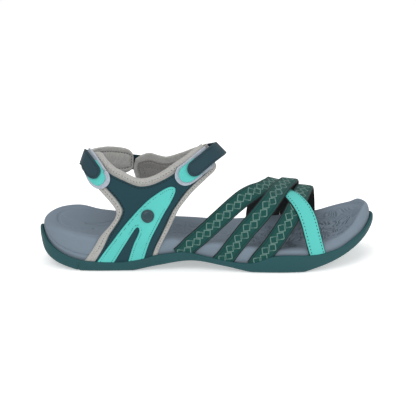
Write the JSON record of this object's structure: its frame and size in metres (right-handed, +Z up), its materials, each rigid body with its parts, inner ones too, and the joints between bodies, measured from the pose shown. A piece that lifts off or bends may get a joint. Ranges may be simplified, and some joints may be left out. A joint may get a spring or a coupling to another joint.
{
  "type": "strappy sport sandal",
  "caption": "Open walking sandal with a moulded foam footbed in a rubber cup sole, crossed webbing straps, padded ankle quarters and peel-open tabs at heel and instep.",
  "frame": {"origin": "middle of the sandal's plan box, on the ground under the sole", "axes": "+X towards the toe, -Y towards the outer side of the foot, +Z up"},
  "size_m": [0.2621, 0.0914, 0.0955],
  "materials": {
    "rubber_sole": "matte moulded rubber",
    "eva_foam": "matte moulded EVA foam",
    "nylon_black": "matte",
    "lining_grey": "brushed knit",
    "padding_foam": "open-cell foam",
    "shell_teal": "fine nubuck synthetic",
    "binding_grey": "stretch knit",
    "turquoise_leather": "smooth synthetic leather",
    "badge_rubber": "satin moulded rubber",
    "strap_teal": "fine synthetic leather",
    "loop_lavender": "brushed loop pile",
    "hook_black": "hook tape",
    "webbing_green": "woven jacquard webbing",
    "strap_lining_black": "matte knit"
  },
  "bodies": {
    "root": {"outsole": "rubber_sole", "footbed": "eva_foam", "arch_shank": "nylon_black", "lateral_quarter_lining": "lining_grey", "lateral_quarter_foam": "padding_foam", "lateral_quarter_shell": "shell_teal", "lateral_rear_binding": "binding_grey", "lateral_front_binding": "binding_grey", "lateral_top_binding": "binding_grey", "lateral_overlay": "turquoise_leather", "lateral_badge": "badge_rubber", "medial_quarter_lining": "lining_grey", "medial_quarter_foam": "padding_foam", "medial_quarter_shell": "shell_teal", "medial_rear_binding": "binding_grey", "medial_front_binding": "binding_grey", "medial_top_binding": "binding_grey", "medial_overlay": "turquoise_leather", "heel_collar_lining": "lining_grey", "heel_collar_foam": "padding_foam", "heel_collar_cover": "binding_grey", "heel_strap": "strap_teal", "heel_loop_patch": "loop_lavender", "heel_tip_patch": "turquoise_leather", "ankle_strap_base": "strap_teal", "ankle_loop_patch": "loop_lavender", "ankle_tip_patch": "turquoise_leather", "rear_cross_strap_web": "webbing_green", "rear_cross_strap_lining": "strap_lining_black", "middle_cross_strap_web": "webbing_green", "middle_cross_strap_lining": "strap_lining_black", "front_cross_strap_web": "webbing_green", "front_cross_strap_lining": "strap_lining_black", "toe_strap_upper": "turquoise_leather", "toe_strap_lining": "strap_lining_black"},
    "heel_tab": {"heel_tab": "strap_teal", "heel_tab_hook": "hook_black"},
    "ankle_strap": {"ankle_strap": "strap_teal", "ankle_strap_hook": "hook_black"}
  },
  "joints": [
    {"name": "heel_tab_peel", "type": "hinge", "parent": "root", "child": "heel_tab", "pos_m": [-0.09757, -0.00763, 0.08447], "axis": [-0.3326, -0.1771, -0.9263], "range_deg": [0, 120]},
    {"name": "ankle_strap_open", "type": "hinge", "parent": "root", "child": "ankle_strap", "pos_m": [0.00541, 0.02257, 0.08034], "axis": [-0.5472, -0.2167, 0.8084], "range_deg": [0, 110]}
  ]
}
